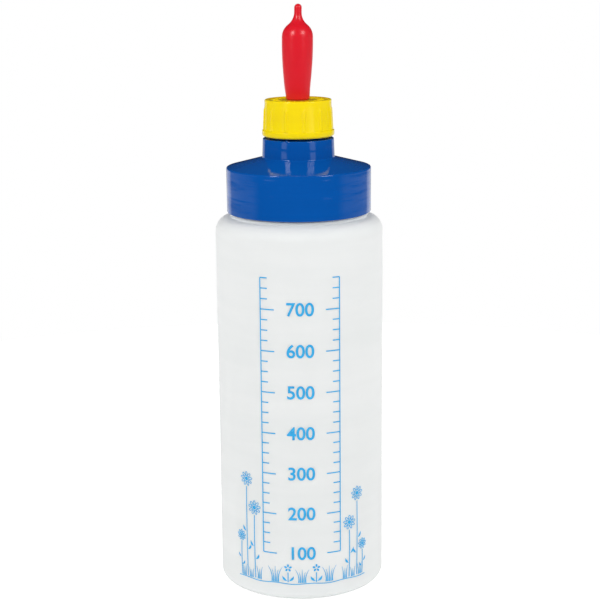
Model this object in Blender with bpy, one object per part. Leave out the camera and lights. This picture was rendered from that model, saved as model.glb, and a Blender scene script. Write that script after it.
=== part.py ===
"""A lamb feeding bottle that holds a little under a litre, built piece by piece.

A blown bottle stands at the origin, +Z up, with its front towards -Y.
A wide screw cap with a narrow spout closes it, over a flat seal on the bottle's rim.
A ribbed collar screws on the spout, over a washer. It holds the rubber teat and a one-way
air vent: a ball under a conical seat, kept in its chamber by a slotted press-in ring.
Each piece stands on the one below it, so every height is worked out from that one.
"""

import math

import bmesh
import bpy
from mathutils import Matrix

# Lengths are in millimetres here, and MM turns them into Blender's metres.
MM = 0.001
SEAT_GAP = 0.3  # between two pieces that rest on each other
BODY_SEGMENTS = 48  # facets round the bottle, the cap and its seal
COLLAR_SEGMENTS = 48
TEAT_SEGMENTS = 28
PIN_SEGMENTS = 16  # facets round the vent
ROUND_ERROR = 0.12  # how far an arc's straight steps may leave its true curve

# Bottle
BODY_RADIUS = 41.0
BODY_WALL = 1.4
BASE_THICKNESS = 2.0
BASE_CORNER = 3.75
FOOT_WIDTH = 2.75  # the flat ring that the bottle stands on
PUSH_UP_HEIGHT = 3.0  # the base is pushed up inside that ring
PUSH_UP_SLOPE = 3.5
PUSH_UP_ROUND = 1.0
SHOULDER_HEIGHT = 184.8
SHOULDER_ROUND = 6.9
NECK_STEP_WIDTH = 2.1  # the step under the neck's threads
NECK_STEP_HEIGHT = 1.9
NECK_STEP_ROUND = 0.5
NECK_RADIUS = 31.4
NECK_WALL = 1.8
NECK_HEIGHT = 19.1
RIM_ROUND = 0.6

# Cap seal
CAP_SEAL_THICKNESS = 1.8
CAP_SEAL_INSET = 1.6  # how far it reaches inside the bottle's rim
CAP_SEAL_CLEARANCE = 0.3

# Cap
CAP_THREAD_ROOM = 1.85  # between the neck and the skirt, where the threads lie
SKIRT_WALL = 2.0
SKIRT_DRAFT = 0.1
SKIRT_EDGE = 0.4
SKIRT_LIFT = 0.4  # the skirt stops short of the neck's step
ROOF_THICKNESS = 2.5  # at its outer edge
ROOF_EDGE = 0.6
CONE_RISE = 4.7
CONE_WALL = 2.0
TOWER_RADIUS = 17.25  # the plain stub between the cone and the spout
TOWER_DRAFT = 0.35
TOWER_HEIGHT = 9.3
TOWER_WALL = 2.0
TOWER_EDGE = 0.5
TOWER_FILLET = 0.6
SPOUT_RADIUS = 12.45
SPOUT_WALL = 1.6
SPOUT_HEIGHT = 13.95
SPOUT_EDGE = 0.35

# Spout seal
SPOUT_SEAL_THICKNESS = 1.6
SPOUT_SEAL_INSET = 0.15  # how far it reaches inside the spout's rim
SPOUT_SEAL_CLEARANCE = 0.3

# Teat collar
COLLAR_THREAD_ROOM = 1.55
COLLAR_LIFT = 1.0  # the collar stops short of the cap's ledge
COLLAR_WALL = 2.05
COLLAR_DRAFT = 0.65
PLATE_THICKNESS = 2.2
COLLAR_RIM_HEIGHT = 0.35
COLLAR_RIM_WIDTH = 1.1
COLLAR_RIM_FLARE = 0.15  # how far the side spreads again at the top
COLLAR_RIM_BAND = 2.4  # how far down that starts
COLLAR_RIM_ROUND = 0.6
LIP_WIDTH = 0.8
LIP_HEIGHT = 3.3
LIP_ROUND = 1.2
COLLAR_EDGE = 0.3
TEAT_HOLE_RADIUS = 5.2
RIB_COUNT = 12
RIB_WIDTH = 1.7
RIB_HEIGHT = 0.6
RIB_ROOT = 1.0  # how deep a rib is rooted in the collar's side
RIB_FIRST_ANGLE = 10.0  # degrees from the front, towards +X
RIB_TOP_BAND = 3.6  # plain band left above the ribs
RIB_RUN_OUT = 1.7  # the height in which a rib's top sinks into the side
RIB_ARC_STEPS = 6

# Vent
VENT_ANGLE = 218.0  # degrees from the front, towards +X
VENT_HOLE_RADIUS = 0.6
CHAMBER_RADIUS = 1.35
CHAMBER_WALL = 0.65
CHAMBER_ROOF = 1.5
BALL_RADIUS = 1.19
BALL_TRAVEL = 1.5
BALL_GAP = 0.08  # left between the ball and its stops
BALL_RINGS = 8
VENT_RING_THICKNESS = 0.8
VENT_RING_HOLE = 0.55
VENT_RING_SLOT = 0.45  # width and depth of the slots that let the air past the ball
VENT_RING_CLEARANCE = 0.05

# Teat
TEAT_FLANGE_THICKNESS = 1.5
TEAT_FLANGE_EDGE = 0.4
TEAT_FLANGE_CLEARANCE = 0.3  # inside the spout seal
TEAT_VENT_CLEARANCE = 0.3  # round the vent chamber, in the flange
TEAT_NECK_CLEARANCE = 0.3
TEAT_BORE = 3.3
TEAT_WALL = 1.6
TEAT_FOOT_RADIUS = 5.6
TEAT_FOOT_ROUND = 0.7
TEAT_BELLY_RADIUS = 7.5
TEAT_BODY_LENGTH = 27.2  # from the foot to the full belly
TEAT_BELLY_LENGTH = 2.4
TEAT_CROWN_ROUND = 7.5
TEAT_CROWN_FILLET = 7.4  # the hollow curve from the crown up into the nub
TEAT_NUB_RADIUS = 1.8
TEAT_NUB_LENGTH = 4.0
TEAT_LUMEN_RADIUS = 0.7
TEAT_TIP_WALL = 2.2  # the tip is closed, and the user cuts it open
TEAT_BODY_STEPS = 5
TEAT_CROWN_STEPS = 4  # on each of its two curves

# What follows from the sizes above
NECK_BORE = NECK_RADIUS - NECK_WALL
NECK_STEP_Z = SHOULDER_HEIGHT + NECK_STEP_HEIGHT
RIM_Z = SHOULDER_HEIGHT + NECK_HEIGHT
CAP_SEAL_BORE = NECK_BORE - CAP_SEAL_INSET
CAP_SEAL_Z = RIM_Z + SEAT_GAP
ROOF_Z = CAP_SEAL_Z + CAP_SEAL_THICKNESS + SEAT_GAP
SKIRT_BORE = NECK_RADIUS + CAP_THREAD_ROOM
SKIRT_RADIUS = SKIRT_BORE + SKIRT_WALL
SKIRT_Z = NECK_STEP_Z + SKIRT_LIFT
CONE_Z = ROOF_Z + ROOF_THICKNESS
TOWER_Z = CONE_Z + CONE_RISE
LEDGE_Z = TOWER_Z + TOWER_HEIGHT
SPOUT_Z = LEDGE_Z + SPOUT_HEIGHT
SPOUT_BORE = SPOUT_RADIUS - SPOUT_WALL
SPOUT_SEAL_BORE = SPOUT_BORE - SPOUT_SEAL_INSET
SPOUT_SEAL_Z = SPOUT_Z + SEAT_GAP
PLATE_UNDERSIDE_Z = SPOUT_SEAL_Z + SPOUT_SEAL_THICKNESS + SEAT_GAP
PLATE_Z = PLATE_UNDERSIDE_Z + PLATE_THICKNESS
COLLAR_BORE = SPOUT_RADIUS + COLLAR_THREAD_ROOM
COLLAR_TOP_RADIUS = COLLAR_BORE + COLLAR_WALL
COLLAR_BASE_RADIUS = COLLAR_TOP_RADIUS + COLLAR_DRAFT
COLLAR_TOP_Z = PLATE_Z + COLLAR_RIM_HEIGHT
COLLAR_Z = LEDGE_Z + COLLAR_LIFT
LIP_Z = COLLAR_Z + LIP_HEIGHT
TEAT_NECK_RADIUS = TEAT_HOLE_RADIUS - TEAT_NECK_CLEARANCE
TEAT_FLANGE_RADIUS = SPOUT_SEAL_BORE - TEAT_FLANGE_CLEARANCE
TEAT_FLANGE_TOP_Z = PLATE_UNDERSIDE_Z - SEAT_GAP
TEAT_FLANGE_Z = TEAT_FLANGE_TOP_Z - TEAT_FLANGE_THICKNESS
TEAT_FOOT_Z = PLATE_Z + SEAT_GAP
# The crown's round and the fillet above it turn by the same angle, and meet in a smooth line.
TEAT_CROWN_TURN = math.acos(
    1 - (TEAT_BELLY_RADIUS - TEAT_NUB_RADIUS) / (TEAT_CROWN_ROUND + TEAT_CROWN_FILLET)
)
TEAT_CROWN_LENGTH = (TEAT_CROWN_ROUND + TEAT_CROWN_FILLET) * math.sin(TEAT_CROWN_TURN)
VENT_DISTANCE = (TEAT_NECK_RADIUS + TEAT_FLANGE_RADIUS) / 2
CHAMBER_TOP_Z = PLATE_Z - CHAMBER_ROOF
# The seat is a cone of 45 degrees, so a seated ball's centre lies this far under its top.
BALL_SEAT_DROP = BALL_RADIUS * math.sqrt(2) - VENT_HOLE_RADIUS
BALL_Z = CHAMBER_TOP_Z - BALL_SEAT_DROP - BALL_GAP - BALL_TRAVEL
VENT_RING_TOP_Z = BALL_Z - BALL_RADIUS - BALL_GAP
VENT_RING_Z = VENT_RING_TOP_Z - VENT_RING_THICKNESS


def clear_scene():
    for old in list(bpy.data.objects):
        bpy.data.objects.remove(old, do_unlink=True)


def finish(name, colour, roughness, metallic=0.0):
    material = bpy.data.materials.new(name)
    material.use_nodes = True
    shader = material.node_tree.nodes["Principled BSDF"]
    shader.inputs["Base Color"].default_value = (*colour, 1.0)
    shader.inputs["Roughness"].default_value = roughness
    shader.inputs["Metallic"].default_value = metallic
    return material


def arc_steps(radius, sweep):
    """How many straight steps an arc needs to stay within ROUND_ERROR of its true curve."""
    widest = 2 * math.acos(max(0.0, 1 - ROUND_ERROR / radius))
    return max(1, round(abs(sweep) / widest))


def bend(before, corner, after):
    """A corner's direction back, its turn from there to the next edge, and its rounding's reach."""
    a = math.atan2(before[1] - corner[1], before[0] - corner[0])
    b = math.atan2(after[1] - corner[1], after[0] - corner[0])
    turn = (b - a + math.pi) % (2 * math.pi) - math.pi
    return a, turn, corner[2] / math.tan(abs(turn) / 2)


def rounded(corners):
    """Points along an outline of (radius, height, rounding) corners.

    A rounding is an arc. It gets smaller where the edges beside it are too short for it.
    """
    around = [(corners[i - 1], c, corners[(i + 1) % len(corners)]) for i, c in enumerate(corners)]
    reaches = [bend(*three)[2] if three[1][2] > 0 else 0.0 for three in around]
    points = []
    for i, (before, corner, after) in enumerate(around):
        if reaches[i] == 0:
            points.append(corner[:2])
            continue
        towards_before, turn, reach = bend(before, corner, after)
        beside = (
            (before, reaches[i - 1]),
            (after, reaches[(i + 1) % len(corners)]),
        )
        fit = min(1.0, *(math.dist(corner[:2], other[:2]) / (reach + theirs) for other, theirs in beside))
        radius = corner[2] * fit
        middle = towards_before + turn / 2
        to_centre = radius / math.sin(abs(turn) / 2)
        centre = (corner[0] + to_centre * math.cos(middle), corner[1] + to_centre * math.sin(middle))
        sweep = -math.copysign(math.pi - abs(turn), turn)
        first = towards_before - math.copysign(math.pi / 2, turn)
        steps = arc_steps(radius, sweep)
        for step in range(steps + 1):
            at = first + sweep * step / steps
            points.append((centre[0] + radius * math.cos(at), centre[1] + radius * math.sin(at)))
    return points


def mesh_object(name, shape, material):
    """The bmesh as an object, with its faces pointing out and its round faces shaded smooth."""
    bmesh.ops.remove_doubles(shape, verts=shape.verts, dist=0.001 * MM)
    bmesh.ops.recalc_face_normals(shape, faces=shape.faces)
    mesh = bpy.data.meshes.new(name)
    shape.to_mesh(mesh)
    shape.free()
    mesh.shade_smooth()
    mesh.set_sharp_from_angle(angle=math.radians(35))
    made = bpy.data.objects.new(name, mesh)
    bpy.context.scene.collection.objects.link(made)
    if material:
        mesh.materials.append(material)
    return made


def turned(name, outline, segments, material, start_z, at=(0, 0)):
    """A closed outline of (radius, height) points, spun about its axis, with its origin at start_z."""
    shape = bmesh.new()
    points = [shape.verts.new((r * MM, 0, (z - start_z) * MM)) for r, z in outline]
    edges = []
    for i, point in enumerate(points):
        before = points[i - 1]
        if point.co.x > 0 or before.co.x > 0:
            edges.append(shape.edges.new((before, point)))
    bmesh.ops.spin(
        shape,
        geom=points + edges,
        cent=(0, 0, 0),
        axis=(0, 0, 1),
        angle=2 * math.pi,
        steps=segments,
        use_merge=True,
    )
    made = mesh_object(name, shape, material)
    made.location = (at[0] * MM, at[1] * MM, start_z * MM)
    return made


def combine(target, tool, operation):
    """Cuts the tool out of the target or joins it on, and hides the tool."""
    tool.hide_render = True
    tool.display_type = "WIRE"
    modifier = target.modifiers.new(tool.name, "BOOLEAN")
    modifier.operation = operation
    modifier.solver = "EXACT"
    modifier.object = tool


def from_front(distance, degrees):
    """The (x, y) point at this distance from the axis, turned from the front towards +X."""
    angle = math.radians(degrees)
    return (distance * math.sin(angle), -distance * math.cos(angle))


def build_bottle(material):
    """The blown bottle: an even wall, a stepped open neck, and a base pushed up inside its foot."""
    inner = BODY_RADIUS - BODY_WALL
    inside_shoulder = SHOULDER_HEIGHT - BODY_WALL
    neck_step = NECK_RADIUS + NECK_STEP_WIDTH
    foot = BODY_RADIUS - BASE_CORNER - FOOT_WIDTH
    push_up = foot - PUSH_UP_SLOPE
    outline = rounded(
        [
            (0, PUSH_UP_HEIGHT, 0),
            (push_up, PUSH_UP_HEIGHT, PUSH_UP_ROUND),
            (foot, 0, 0),
            (BODY_RADIUS, 0, BASE_CORNER),
            (BODY_RADIUS, SHOULDER_HEIGHT, SHOULDER_ROUND),
            (neck_step, SHOULDER_HEIGHT, NECK_STEP_ROUND),
            (neck_step, NECK_STEP_Z, NECK_STEP_ROUND),
            (NECK_RADIUS, NECK_STEP_Z, 0),
            (NECK_RADIUS, RIM_Z, RIM_ROUND),
            (NECK_BORE, RIM_Z, RIM_ROUND),
            (NECK_BORE, inside_shoulder, NECK_STEP_ROUND + BODY_WALL),
            (inner, inside_shoulder, SHOULDER_ROUND - BODY_WALL),
            (inner, BASE_THICKNESS, BASE_CORNER - BODY_WALL),
            (foot, BASE_THICKNESS, 0),
            (push_up, PUSH_UP_HEIGHT + BASE_THICKNESS, 0),
            (0, PUSH_UP_HEIGHT + BASE_THICKNESS, 0),
        ]
    )
    return turned("bottle", outline, BODY_SEGMENTS, material, 0)


def build_flat_ring(name, bore, edge, bottom, thickness, segments, material):
    """A plain washer, which both seals are."""
    top = bottom + thickness
    outline = [(bore, bottom), (edge, bottom), (edge, top), (bore, top)]
    return turned(name, outline, segments, material, bottom)


def build_cap(material):
    """The screw cap: skirt, conical roof, plain tower and spout, in one hollow moulding."""
    land = CAP_SEAL_BORE - CAP_SEAL_CLEARANCE
    tower_base = TOWER_RADIUS + TOWER_DRAFT
    tower_bore = TOWER_RADIUS - TOWER_WALL
    slope = CONE_RISE / (SKIRT_RADIUS - tower_base)
    under_cone = CONE_Z - CONE_WALL * math.hypot(1, slope)
    outline = rounded(
        [
            (SPOUT_BORE, SPOUT_Z, SPOUT_EDGE),
            (SPOUT_RADIUS, SPOUT_Z, SPOUT_EDGE),
            (SPOUT_RADIUS, LEDGE_Z, SPOUT_EDGE),
            (TOWER_RADIUS, LEDGE_Z, TOWER_EDGE),
            (tower_base, TOWER_Z, TOWER_FILLET),
            (SKIRT_RADIUS, CONE_Z, ROOF_EDGE),
            (SKIRT_RADIUS - SKIRT_DRAFT, SKIRT_Z, SKIRT_EDGE),
            (SKIRT_BORE, SKIRT_Z, SKIRT_EDGE),
            (SKIRT_BORE, ROOF_Z, 0),
            (land, ROOF_Z, 0),
            (land, under_cone + (SKIRT_RADIUS - land) * slope, 0),
            (tower_bore, under_cone + (SKIRT_RADIUS - tower_bore) * slope, 0),
            (tower_bore, LEDGE_Z - TOWER_WALL, TOWER_EDGE),
            (SPOUT_BORE, LEDGE_Z - TOWER_WALL, 0),
        ]
    )
    return turned("cap", outline, BODY_SEGMENTS, material, ROOF_Z)


def collar_side(z):
    """The radius of the collar between its ribs, which widens down to the lip."""
    share = (COLLAR_TOP_Z - z) / (COLLAR_TOP_Z - LIP_Z)
    return COLLAR_TOP_RADIUS + COLLAR_DRAFT * min(share, 1.0)


def build_ribs():
    """The collar's finger ribs, each a half-round strip rooted in the side and run out at the top."""
    shape = bmesh.new()
    top = COLLAR_TOP_Z - RIB_TOP_BAND
    levels = (
        (COLLAR_Z + LIP_HEIGHT / 2, RIB_HEIGHT),
        (top - RIB_RUN_OUT, RIB_HEIGHT),
        (top, 0.0),
    )
    for rib in range(RIB_COUNT):
        rings = []
        for z, height in levels:
            side = collar_side(z)
            section = [(-RIB_WIDTH / 2, side - RIB_ROOT), (RIB_WIDTH / 2, side - RIB_ROOT)]
            for step in range(RIB_ARC_STEPS + 1):
                angle = math.pi * step / RIB_ARC_STEPS
                # The crown springs from where the rib's straight flanks leave the round side.
                spring = math.sqrt(side**2 - (RIB_WIDTH / 2) ** 2)
                out = spring + (side + height - spring) * math.sin(angle)
                section.append((RIB_WIDTH / 2 * math.cos(angle), out))
            rings.append([shape.verts.new((x * MM, -out * MM, z * MM)) for x, out in section])
        for low, high in zip(rings, rings[1:]):
            for i in range(len(low)):
                shape.faces.new((low[i - 1], low[i], high[i], high[i - 1]))
        shape.faces.new(rings[0])
        shape.faces.new(rings[-1])
        place = Matrix.Rotation(math.radians(RIB_FIRST_ANGLE + rib * 360 / RIB_COUNT), 4, "Z")
        bmesh.ops.transform(shape, matrix=place, verts=[point for ring in rings for point in ring])
    return mesh_object("rib_tool", shape, None)


def build_collar(material):
    """The screw collar: lip, ribbed side, recessed top plate, and the vent's chamber below it."""
    flare_z = COLLAR_TOP_Z - COLLAR_RIM_BAND
    lip = COLLAR_BASE_RADIUS + LIP_WIDTH
    outline = rounded(
        [
            (TEAT_HOLE_RADIUS, PLATE_Z, 0),
            (COLLAR_TOP_RADIUS - COLLAR_RIM_WIDTH, PLATE_Z, 0),
            (COLLAR_TOP_RADIUS - COLLAR_RIM_WIDTH, COLLAR_TOP_Z, COLLAR_EDGE),
            (COLLAR_TOP_RADIUS + COLLAR_RIM_FLARE, COLLAR_TOP_Z, COLLAR_RIM_ROUND),
            (collar_side(flare_z), flare_z, 0),
            (COLLAR_BASE_RADIUS, LIP_Z, 0),
            (lip, LIP_Z - LIP_WIDTH / 2, COLLAR_EDGE),
            (lip, COLLAR_Z, LIP_ROUND),
            (COLLAR_BORE, COLLAR_Z, COLLAR_EDGE),
            (COLLAR_BORE, PLATE_UNDERSIDE_Z, 0),
            (TEAT_HOLE_RADIUS, PLATE_UNDERSIDE_Z, 0),
        ]
    )
    collar = turned("teat_collar", outline, COLLAR_SEGMENTS, material, COLLAR_Z)
    combine(collar, build_ribs(), "UNION")
    boss_radius = CHAMBER_RADIUS + CHAMBER_WALL
    boss = turned(
        "chamber_tool",
        [(0, VENT_RING_Z), (boss_radius, VENT_RING_Z), (boss_radius, CHAMBER_TOP_Z), (0, CHAMBER_TOP_Z)],
        PIN_SEGMENTS,
        None,
        VENT_RING_Z,
        from_front(VENT_DISTANCE, VENT_ANGLE),
    )
    combine(collar, boss, "UNION")
    below = VENT_RING_Z - SEAT_GAP
    above = PLATE_Z + SEAT_GAP
    seat_depth = CHAMBER_RADIUS - VENT_HOLE_RADIUS
    bore = turned(
        "chamber_bore",
        [
            (0, below),
            (CHAMBER_RADIUS, below),
            (CHAMBER_RADIUS, CHAMBER_TOP_Z - seat_depth),
            (VENT_HOLE_RADIUS, CHAMBER_TOP_Z),
            (VENT_HOLE_RADIUS, above),
            (0, above),
        ],
        PIN_SEGMENTS,
        None,
        below,
        from_front(VENT_DISTANCE, VENT_ANGLE),
    )
    combine(collar, bore, "DIFFERENCE")
    return collar


def spread(start, end, steps):
    """The levels from start to end, in even steps."""
    return [start + (end - start) * step / steps for step in range(steps + 1)]


def body_side(height):
    """The radius of the teat's body at a height over its foot, where it swells up to its belly."""
    swell = math.sin(math.pi / 2 * min(height / TEAT_BODY_LENGTH, 1.0))
    return TEAT_FOOT_RADIUS + (TEAT_BELLY_RADIUS - TEAT_FOOT_RADIUS) * swell


def crown_side(start_z):
    """The (radius, height) points of the teat's crown: a round drawn in from the belly, then a fillet."""
    round_angles = spread(0, TEAT_CROWN_TURN, TEAT_CROWN_STEPS)
    crown = [
        (
            TEAT_BELLY_RADIUS - TEAT_CROWN_ROUND * (1 - math.cos(angle)),
            start_z + TEAT_CROWN_ROUND * math.sin(angle),
        )
        for angle in round_angles
    ]
    fillet = [
        (
            TEAT_NUB_RADIUS + TEAT_CROWN_FILLET * (1 - math.cos(angle)),
            start_z + TEAT_CROWN_LENGTH - TEAT_CROWN_FILLET * math.sin(angle),
        )
        for angle in reversed(round_angles)
    ]
    return crown + fillet[1:]


def build_teat(material):
    """The rubber teat: a flange under the plate, a neck through it, and a hollow body with a closed nub."""
    crown_z = TEAT_FOOT_Z + TEAT_BODY_LENGTH + TEAT_BELLY_LENGTH
    nub_z = crown_z + TEAT_CROWN_LENGTH
    tip_z = nub_z + TEAT_NUB_LENGTH
    body_levels = spread(TEAT_FOOT_ROUND, TEAT_BODY_LENGTH, TEAT_BODY_STEPS)[1:]
    side = [(body_side(level), TEAT_FOOT_Z + level) for level in body_levels] + crown_side(crown_z)
    stem = rounded(
        [
            (TEAT_BORE, TEAT_FLANGE_Z, 0),
            (TEAT_FLANGE_RADIUS, TEAT_FLANGE_Z, TEAT_FLANGE_EDGE),
            (TEAT_FLANGE_RADIUS, TEAT_FLANGE_TOP_Z, TEAT_FLANGE_EDGE),
            (TEAT_NECK_RADIUS, TEAT_FLANGE_TOP_Z, 0),
            (TEAT_NECK_RADIUS, TEAT_FOOT_Z, 0),
            (body_side(TEAT_FOOT_ROUND), TEAT_FOOT_Z, TEAT_FOOT_ROUND),
            (*side[0], 0),
        ]
    )
    tip_angles = spread(0, math.pi / 2, arc_steps(TEAT_NUB_RADIUS, math.pi / 2))
    tip = [
        (
            TEAT_NUB_RADIUS * math.cos(angle),
            tip_z - TEAT_NUB_RADIUS * (1 - math.sin(angle)),
        )
        for angle in tip_angles[:-1]
    ]
    ceiling_z = tip_z - TEAT_TIP_WALL
    hollow = [(r - TEAT_WALL, z) for r, z in reversed(side) if r - TEAT_WALL > TEAT_LUMEN_RADIUS]
    outline = [
        *stem,
        *side[1:],
        *tip,
        (0, tip_z),
        (0, ceiling_z),
        (TEAT_LUMEN_RADIUS, ceiling_z),
        (TEAT_LUMEN_RADIUS, nub_z),
        *hollow,
        (TEAT_BORE, TEAT_FOOT_Z),
    ]
    teat = turned("teat", outline, TEAT_SEGMENTS, material, TEAT_FOOT_Z)
    hole_radius = CHAMBER_RADIUS + CHAMBER_WALL + TEAT_VENT_CLEARANCE
    below = TEAT_FLANGE_Z - SEAT_GAP
    hole = turned(
        "flange_hole",
        [(0, below), (hole_radius, below), (hole_radius, PLATE_UNDERSIDE_Z), (0, PLATE_UNDERSIDE_Z)],
        PIN_SEGMENTS,
        None,
        below,
        from_front(VENT_DISTANCE, VENT_ANGLE),
    )
    combine(teat, hole, "DIFFERENCE")
    return teat


def build_vent_ball(material):
    """The steel ball, which falls on its seat when the bottle is tipped up."""
    shape = bmesh.new()
    bmesh.ops.create_uvsphere(
        shape, u_segments=PIN_SEGMENTS, v_segments=BALL_RINGS, radius=BALL_RADIUS * MM
    )
    ball = mesh_object("vent_ball", shape, material)
    x, y = from_front(VENT_DISTANCE, VENT_ANGLE)
    ball.location = (x * MM, y * MM, BALL_Z * MM)
    return ball


def build_vent_ring(material):
    """The ring pressed into the chamber under the ball, with two crossed slots for the air."""
    edge = CHAMBER_RADIUS - VENT_RING_CLEARANCE
    at = from_front(VENT_DISTANCE, VENT_ANGLE)
    ring = build_flat_ring(
        "vent_ring", VENT_RING_HOLE, edge, VENT_RING_Z, VENT_RING_THICKNESS, PIN_SEGMENTS, material
    )
    ring.location = (at[0] * MM, at[1] * MM, VENT_RING_Z * MM)
    shape = bmesh.new()
    for turn in (0, math.pi / 2):
        place = (
            Matrix.Translation((0, 0, VENT_RING_THICKNESS * MM))
            @ Matrix.Rotation(turn, 4, "Z")
            @ Matrix.Diagonal((4 * edge * MM, VENT_RING_SLOT * MM, 2 * VENT_RING_SLOT * MM, 1))
        )
        bmesh.ops.create_cube(shape, size=1.0, matrix=place)
    slots = mesh_object("slot_tool", shape, None)
    slots.location = ring.location
    combine(ring, slots, "DIFFERENCE")
    return ring


def main():
    clear_scene()
    build_bottle(finish("natural_polythene", (0.80, 0.82, 0.81), 0.38))
    build_flat_ring(
        "cap_seal",
        CAP_SEAL_BORE,
        SKIRT_BORE - CAP_SEAL_CLEARANCE,
        CAP_SEAL_Z,
        CAP_SEAL_THICKNESS,
        BODY_SEGMENTS,
        finish("white_foam", (0.85, 0.84, 0.80), 0.8),
    )
    build_cap(finish("blue_plastic", (0.0, 0.075, 0.38), 0.25))
    build_flat_ring(
        "spout_seal",
        SPOUT_SEAL_BORE,
        COLLAR_BORE - SPOUT_SEAL_CLEARANCE,
        SPOUT_SEAL_Z,
        SPOUT_SEAL_THICKNESS,
        COLLAR_SEGMENTS,
        finish("grey_rubber", (0.35, 0.35, 0.34), 0.7),
    )
    build_collar(finish("yellow_plastic", (0.93, 0.70, 0.01), 0.35))
    build_teat(finish("red_rubber", (0.72, 0.02, 0.03), 0.35))
    build_vent_ball(finish("polished_steel", (0.70, 0.70, 0.72), 0.15, metallic=1.0))
    build_vent_ring(finish("yellow_insert", (0.93, 0.70, 0.01), 0.35))


main()
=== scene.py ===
"""The looks of a lamb feeding bottle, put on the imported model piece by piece.

Sizes are in millimetres, and MM turns them into metres. The bottle's front faces -Y.
"""

import math

import bmesh
import bpy
from mathutils import Matrix, Vector


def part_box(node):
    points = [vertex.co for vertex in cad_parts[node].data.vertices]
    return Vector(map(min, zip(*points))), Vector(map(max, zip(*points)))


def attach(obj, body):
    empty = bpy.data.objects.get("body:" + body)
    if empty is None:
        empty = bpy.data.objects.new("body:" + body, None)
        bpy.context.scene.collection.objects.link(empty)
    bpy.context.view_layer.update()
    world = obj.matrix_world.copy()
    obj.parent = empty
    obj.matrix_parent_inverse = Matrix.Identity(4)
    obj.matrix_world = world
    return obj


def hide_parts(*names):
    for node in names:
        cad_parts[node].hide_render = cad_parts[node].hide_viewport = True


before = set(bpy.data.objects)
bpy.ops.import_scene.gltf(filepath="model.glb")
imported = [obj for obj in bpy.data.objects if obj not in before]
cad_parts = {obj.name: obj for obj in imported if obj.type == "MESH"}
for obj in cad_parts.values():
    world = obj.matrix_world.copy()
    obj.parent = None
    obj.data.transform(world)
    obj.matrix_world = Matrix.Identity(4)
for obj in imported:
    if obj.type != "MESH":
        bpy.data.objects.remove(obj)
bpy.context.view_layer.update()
MM = 0.001


# The camera stands where the photograph's did: a long lens a little above the cap, looking down.
# Its place, tilt and roll come from the round edges of the cap, the collar and the base.
PHOTO_SIZE = 600
LENS_IN_PIXELS = 1592.3
SENSOR_WIDTH = 36.0
CAMERA_DISTANCE = 771.2
CAMERA_HEIGHT = 313.2
CAMERA_TILT = 0.2183
CAMERA_ROLL = -0.0091
FRAME_SHIFT = 0.22  # pixels

camera_data = bpy.data.cameras.new("photo_camera")
camera_data.sensor_width = SENSOR_WIDTH
camera_data.lens = SENSOR_WIDTH * LENS_IN_PIXELS / PHOTO_SIZE
camera_data.shift_x = FRAME_SHIFT / PHOTO_SIZE
camera_data.clip_start = 0.01
camera = bpy.data.objects.new("photo_camera", camera_data)
bpy.context.scene.collection.objects.link(camera)
camera.matrix_world = (
    Matrix.Translation((0, -CAMERA_DISTANCE * MM, CAMERA_HEIGHT * MM))
    @ Matrix.Rotation(math.pi / 2 - CAMERA_TILT, 4, "X")
    @ Matrix.Rotation(CAMERA_ROLL, 4, "Z")
)
bpy.context.scene.camera = camera
bpy.context.scene.view_settings.view_transform = "Standard"


# The studio: a soft box high in front on each side, pale walls all round and a dimmer ceiling.
# Glossy surfaces mirror a dark room with a white screen behind on each side, an upright strip in
# front on each side and a glow low down. The floor and walls look white; the shadow stays.
BOX_DISTANCE = 1.0
BOX_TARGET = Vector((0, 0, 0.17))
SOFT_BOXES = {
    "left_box": {"azimuth": -41, "elevation": 36, "width": 0.24, "height": 0.34, "power": 3.1},
    "right_box": {"azimuth": 47, "elevation": 36, "width": 0.34, "height": 0.34, "power": 3.0},
}
# Each pair is where a soft step begins and ends, along one axis of the direction looked in: y is -1
# in front and 1 behind, z is 1 overhead, and aside is how far to the left or right.
LIGHT_SIDE_Y = (-0.70, 0.15)
LIGHT_TOP_Z = (0.6, 0.15)
FRONT_LIGHT = 0.72
WALL_LIGHT = 1.32
CEILING_LIGHT = 0.54
MIRRORED_ROOM = 0.02
SCREEN_Y = (0.70, 0.80)
SCREEN_ASIDE = (0.10, 0.24)
SCREEN_TOP_Z = (0.10, 0.02)
SCREEN_LIGHT = 0.60
STRIP_NEAR_Y = (-0.82, -0.76)
STRIP_FAR_Y = (-0.54, -0.60)
STRIP_LOW_Z = (-0.098, -0.078)
STRIP_TOP_Z = (0.50, 0.40)
STRIP_LIGHT = 1.0
GLOW_Y = (-0.45, -0.15)
GLOW_TOP_Z = (-0.10, -0.17)
GLOW_LIGHT = 0.36
FLOOR_RADIUS = 0.55
FLOOR_COLOUR = (0.96, 0.96, 0.955, 1.0)
FLOOR_NEAR = 0.06
FLOOR_FAR = 0.30
FLOOR_NEAR_WHITE = 0.60
FLOOR_GLOW = 0.08


def add_node(tree, kind, at=(0, 0), **settings):
    """A new node with its settings and, by name, the values of its input sockets."""
    node = tree.nodes.new(kind)
    node.location = at
    inputs = settings.pop("inputs", {})
    for name, value in settings.items():
        setattr(node, name, value)
    for name, value in inputs.items():
        node.inputs[name].default_value = value
    return node


def soft_box(name, azimuth, elevation, width, height, power):
    lamp = bpy.data.lights.new(name, "AREA")
    lamp.shape = "RECTANGLE"
    lamp.size = width
    lamp.size_y = height
    lamp.energy = power
    placed = bpy.data.objects.new(name, lamp)
    bpy.context.scene.collection.objects.link(placed)
    turn, lift = math.radians(azimuth), math.radians(elevation)
    outward = Vector(
        (math.sin(turn) * math.cos(lift), -math.cos(turn) * math.cos(lift), math.sin(lift))
    )
    placed.location = BOX_TARGET + outward * BOX_DISTANCE
    placed.rotation_mode = "QUATERNION"
    placed.rotation_quaternion = outward.to_track_quat("Z", "Y")


for name, box in SOFT_BOXES.items():
    soft_box(name, **box)

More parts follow.
